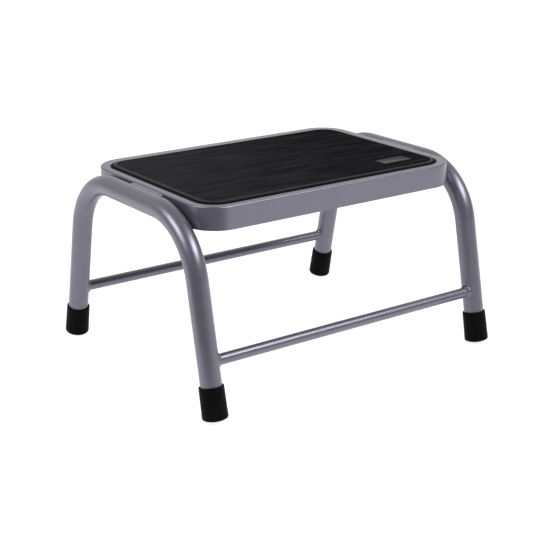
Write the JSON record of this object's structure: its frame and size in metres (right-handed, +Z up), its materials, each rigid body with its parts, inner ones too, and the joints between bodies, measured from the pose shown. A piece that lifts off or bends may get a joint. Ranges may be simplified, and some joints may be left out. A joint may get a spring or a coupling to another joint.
{
  "type": "step stool",
  "caption": "Low single-step platform stool: a ribbed rubber mat on a pressed steel pan, carried by two bent tube end frames joined by thin stretchers, on rubber feet.",
  "frame": {"origin": "on the floor, under the middle of the stool", "axes": "+X along the platform, +Z up, -Y towards the front"},
  "size_m": [0.4486, 0.3734, 0.2449],
  "materials": {
    "grey_paint": "satin metallic grey paint",
    "mat_rubber": "matt ribbed rubber",
    "foot_rubber": "matt moulded rubber",
    "badge_plastic": "plain matt label",
    "zinc_steel": "zinc plated"
  },
  "bodies": {
    "root": {"platform_pan": "grey_paint", "rubber_mat": "mat_rubber", "mat_badge": "badge_plastic", "front_stretcher": "grey_paint", "rear_stretcher": "grey_paint", "left_leg_frame": "grey_paint", "left_upper_weld": "grey_paint", "left_lower_weld": "grey_paint", "left_stiffener": "grey_paint", "left_stiffener_spots": "grey_paint", "front_left_foot": "foot_rubber", "front_left_foot_disc": "zinc_steel", "front_left_stretcher_weld": "grey_paint", "rear_left_foot": "foot_rubber", "rear_left_foot_disc": "zinc_steel", "rear_left_stretcher_weld": "grey_paint", "right_leg_frame": "grey_paint", "right_upper_weld": "grey_paint", "right_lower_weld": "grey_paint", "right_stiffener": "grey_paint", "right_stiffener_spots": "grey_paint", "front_right_foot": "foot_rubber", "front_right_foot_disc": "zinc_steel", "front_right_stretcher_weld": "grey_paint", "rear_right_foot": "foot_rubber", "rear_right_foot_disc": "zinc_steel", "rear_right_stretcher_weld": "grey_paint"}
  },
  "joints": []
}
